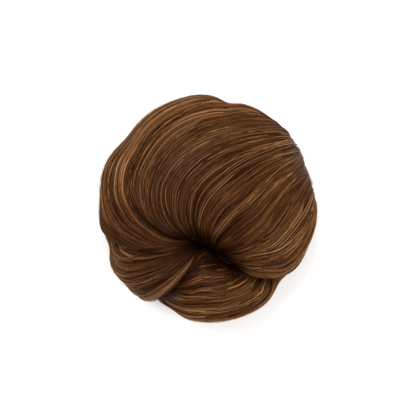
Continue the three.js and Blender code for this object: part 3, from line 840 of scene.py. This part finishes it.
# Gives a mesh of hair its material and hangs it on the root body.
def addHair(piece, material):
    piece.data.materials.append(material)
    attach(piece, "root")


# Each mesh of hair has its own keys for random draws, ten apart.
skinKey, strandKey, looseKey = 0, 1000, 5000
loose = {**strandDefaults, **looseHairs}
for order, (name, lock) in enumerate(locks.items()):
    skin = meshFromArrays(name + "_hair", *lockSkin(lock, skinKey + 10 * order))
    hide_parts(name)
    addHair(skin, skinMaterial)
    for part in range(lock["strandSets"]):
        key = strandKey + 100 * order + 10 * part
        arrays = lockStrands(lock, lock["strandCount"], lock["steps"], key, strandDefaults)
        addHair(meshFromArrays(f"{name}_strands_{part + 1}", *arrays), strandMaterial)
    arrays = lockStrands(lock, loose["count"], loose["steps"], looseKey + 10 * order, loose)
    addHair(meshFromArrays(f"{name}_loose_hairs", *arrays), strandMaterial)
    print(name, "built,", round(lock["wide"] / mm), "mm wide in the middle")

# The inner coil, seen deep in the slit and as a ring underneath.
coil = {
    "radius": 43 * mm,
    "height": 46 * mm,
    "footRadius": 42.6 * mm,
    "footHeight": 1.6 * mm,
    "slitShare": 0.9,
    "columns": 120,
    "rows": 40,
    "hollowRows": 8,
    "hollowGap": 0.3 * mm,
    "topReach": 0.004,  # of the first ring
    "grain": 0.3 * mm,
    "grainPitch": 60,  # radians of the grain's wave for each unit of reach
    "grainStarts": 3,
    # painted shade: a dark tone for the coil, seen deep in the slit
    "tone": 0.22,
}
cap = {
    "radius": (capHigh[0] - capLow[0]) / 2,
    "rise": capHigh[2],
    "wall": 1.6 * mm,
    "hemWidth": 3.4 * mm,
    "hemHeight": 3 * mm,
    "hemBevel": 0.5 * mm,
    "columns": 96,
    "domeRows": 10,
    "middleRadius": 0.1 * mm,  # of the innermost rings
    "threadDepth": 0.45 * mm,  # of the net over the dome's inside
    "threadRadius": 0.28 * mm,
    "threads": 46,  # each way
    "threadTurn": 55,  # degrees that each thread winds on its way in
    "threadSteps": 26,
    "threadEnd": 3 * mm,
    "threadThins": 12 * mm,  # from the axis, where a thread starts to thin on its way in
    "threadLeast": 0.35,
    "stitches": 84,
    "stitchSteps": 5,
    "stitchLength": 1.7 * mm,
    "stitchRadius": 0.2 * mm,
    "stitchSink": 0.35 * mm,
    "stitchSlant": 0.8,
    "stitchLift": 0.1 * mm,
    "stitchArch": 0.25 * mm,
    "lowest": 0.02 * mm,  # height that no thread goes below
}


# Height of the cap's outside at a radius: a shallow parabola over the hem.
def capHeightAt(radius):
    return cap["hemHeight"] + (cap["rise"] - cap["hemHeight"]) * (1 - (radius / cap["radius"]) ** 2)


# Points round the knot's axis, from arrays of radius, turn and height.
def spunAt(radius, turn, height):
    x = radius * np.cos(turn) + knotAxis[0]
    y = radius * np.sin(turn) + knotAxis[1]
    return np.stack([x, y, height + 0 * x], -1)


# Rings of points round the knot's axis, from arrays of radius and height.
def ringsAt(radius, height, columns):
    turn = np.linspace(0, 2 * math.pi, columns, endpoint=False)
    return spunAt(np.asarray(radius)[:, None], turn, np.asarray(height)[:, None])


# The wound coil: a slit crown above, hollow below round the cap, with a fine spiral grain of wound hair,
# sin(pitch reach + starts turn).
def coilPiece():
    turn = np.linspace(0, 2 * math.pi, coil["columns"], endpoint=False)[None, :] + np.zeros((coil["rows"], 1))
    reach = np.linspace(coil["topReach"], knot["footShare"], coil["rows"])[:, None] + 0 * turn
    top, out = shellAt(turn, reach, coil, coil["slitShare"], 0)
    grain = coil["grain"] * np.sin(reach * coil["grainPitch"] + turn * coil["grainStarts"])
    top = top + out * grain[..., None]
    top[..., 2] = np.maximum(top[..., 2], coil["footHeight"])
    top[..., :2] += knotAxis
    radius = np.linspace(cap["radius"] + coil["hollowGap"], cap["middleRadius"], coil["hollowRows"])
    height = capHeightAt(np.minimum(radius, cap["radius"])) + coil["hollowGap"]
    radius = np.concatenate([radius[:1], radius])
    height = np.concatenate([[coil["footHeight"]], height])
    rings = np.concatenate([top, ringsAt(radius, height, coil["columns"])])
    points, faces, uv = closedRings(rings)
    tone = np.full(len(points), coil["tone"])
    return meshFromArrays("inner_coil_hair", points, faces, {"tone": tone}, uv)


# The cap's body, up its inside, over the dome and down to the hem, thinned by the net that lies inside it.
def capBody():
    inner = cap["radius"] - cap["hemWidth"]
    insideRadius = np.linspace(cap["middleRadius"], inner, cap["domeRows"])
    insideHeight = capHeightAt(insideRadius) - cap["wall"] + cap["threadDepth"]
    bevel = cap["hemBevel"]
    sink = cap["stitchSink"]
    hemRadius = [inner, inner + bevel, cap["radius"] - bevel, cap["radius"], cap["radius"]]
    hemHeight = [sink + bevel, sink, sink, sink + bevel, cap["hemHeight"]]
    outsideRadius = np.linspace(cap["radius"], cap["middleRadius"], cap["domeRows"] + 1)[1:]
    radius = np.concatenate([insideRadius, hemRadius, outsideRadius])
    height = np.concatenate([insideHeight, hemHeight, capHeightAt(outsideRadius)])
    points, faces, uv = closedRings(ringsAt(radius, height, cap["columns"]))
    return meshFromArrays("net_cap_body", points, faces, {}, uv)


# Threads along paths round the knot's axis as one piece.
def threadPiece(name, radius, turn, height, thickness):
    paths = spunAt(radius, turn, height)
    down = np.broadcast_to([0.0, 0.0, -1.0], paths.shape)
    points, faces = strandTubes(paths, down, thickness)
    points[:, 2] = np.maximum(points[:, 2], cap["lowest"])
    return meshFromArrays(name, points, faces, {}, tubeColumns(*turn.shape))


# The net: threads that wind both ways over the inside of the dome and end near its middle.
def capNet():
    t = np.linspace(0, 1, cap["threadSteps"])
    inner = cap["radius"] - cap["hemWidth"]
    radius = inner + (cap["threadEnd"] - inner) * t
    height = capHeightAt(radius) - cap["wall"] + 0.5 * cap["threadDepth"]
    start = np.linspace(0, 2 * math.pi, cap["threads"], endpoint=False)
    turn = np.concatenate([start[:, None] + way * math.radians(cap["threadTurn"]) * t for way in (1, -1)])
    thinned = np.clip(radius / cap["threadThins"], cap["threadLeast"], 1)
    thickness = np.full(turn.shape, cap["threadRadius"]) * thinned
    return threadPiece("net_cap_threads", radius, turn, height, thickness)


# A row of slanting stitches along the middle of the hem's underside, each an arch cos(pi t) downwards.
def capStitches():
    t = np.linspace(-0.5, 0.5, cap["stitchSteps"])
    middle = cap["radius"] - cap["hemWidth"] / 2
    start = np.linspace(0, 2 * math.pi, cap["stitches"], endpoint=False)
    turn = start[:, None] + t * cap["stitchLength"] / middle
    radius = middle + cap["stitchSlant"] * cap["stitchLength"] * t
    height = cap["stitchSink"] + cap["stitchLift"] - cap["stitchArch"] * np.cos(math.pi * t)
    return threadPiece("net_cap_stitches", radius, turn, height, np.full(turn.shape, cap["stitchRadius"]))


coilHair = coilPiece()
coilHair.data.materials.append(hairMaterial("coil_hair", hairLook["coilStretch"]))
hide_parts("inner_coil")
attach(coilHair, "root")
print("coil built")

plainLooks = {
    "cap_net": {
        "dark": (34, 22, 15),
        "light": (58, 40, 28),
        "scale": 900,
        "roughness": 0.85,
        "specular": 0.2,
    },
    "cap_threads": {
        "dark": (58, 40, 28),
        "light": (82, 58, 42),
        "scale": 1400,
        "roughness": 0.7,
        "specular": 0.3,
    },
    "comb_plastic": {
        "dark": (44, 26, 15),
        "light": (66, 40, 24),
        "scale": 160,
        "roughness": 0.28,
        "specular": 0.5,
    },
}
netMaterial = plainMaterial("cap_net", **plainLooks["cap_net"])
threadMaterial = plainMaterial("cap_threads", **plainLooks["cap_threads"])
body = capBody()
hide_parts("net_cap")
for piece, material in ((body, netMaterial), (capNet(), threadMaterial), (capStitches(), threadMaterial)):
    piece.data.materials.append(material)
    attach(piece, "root")
print("cap built")

# The comb keeps its mesh from the model.
comb = nodes["comb"]
comb.data.materials.clear()
comb.data.materials.append(plainMaterial("comb_plastic", **plainLooks["comb_plastic"]))

# Floor, lights and camera. The camera looks straight down on the swirl, with the picture's top towards +Y.
photo = {"pixels": 416, "pixelSize": 0.5 * mm, "distance": 1.5, "sensor": 36.0}
studio = {
    "floorSize": 6,
    "floorColour": (0.98, 0.98, 0.98, 1),
    "floorRoughness": 0.9,
    "lampTarget": (0, 0, 0.03),
    "lampColour": (1, 0.98, 0.95),
    "worldStrength": 0.75,
}

bpy.ops.mesh.primitive_plane_add(size=studio["floorSize"], location=(0, 0, 0))
floor = bpy.context.object
floor.name = "floor"
floorMaterial = bpy.data.materials.new("floor")
floorMaterial.use_nodes = True
floorShader = floorMaterial.node_tree.nodes["Principled BSDF"]
floorShader.inputs["Base Color"].default_value = studio["floorColour"]
floorShader.inputs["Roughness"].default_value = studio["floorRoughness"]
floor.data.materials.append(floorMaterial)

cameraData = bpy.data.cameras.new("camera")
cameraData.sensor_width = photo["sensor"]
cameraData.lens = photo["sensor"] * photo["distance"] / (photo["pixels"] * photo["pixelSize"])
cameraData.clip_start = 0.01
cameraData.clip_end = 20
camera = bpy.data.objects.new("camera", cameraData)
camera.location = (0, 0, knot["waist"] + photo["distance"])
bpy.context.scene.collection.objects.link(camera)
bpy.context.scene.camera = camera


# A soft rectangular lamp at a place, facing the knot.
def softLamp(name, place, size, power):
    data = bpy.data.lights.new(name, "AREA")
    data.shape = "RECTANGLE"
    data.size, data.size_y = size
    data.energy = power
    data.color = studio["lampColour"]
    lamp = bpy.data.objects.new(name, data)
    bpy.context.scene.collection.objects.link(lamp)
    lamp.location = place
    lamp.rotation_euler = (Vector(studio["lampTarget"]) - Vector(place)).to_track_quat("-Z", "Y").to_euler()


softLamp("key", place=(-0.35, 0.5, 1.1), size=(0.9, 0.7), power=13)
softLamp("fill", place=(0.65, -0.4, 0.75), size=(0.6, 0.6), power=7)

world = bpy.data.worlds.new("studio")
bpy.context.scene.world = world
world.use_nodes = True
world.node_tree.nodes["Background"].inputs["Color"].default_value = (1, 1, 1, 1)
world.node_tree.nodes["Background"].inputs["Strength"].default_value = studio["worldStrength"]
bpy.context.scene.view_settings.view_transform = "Standard"
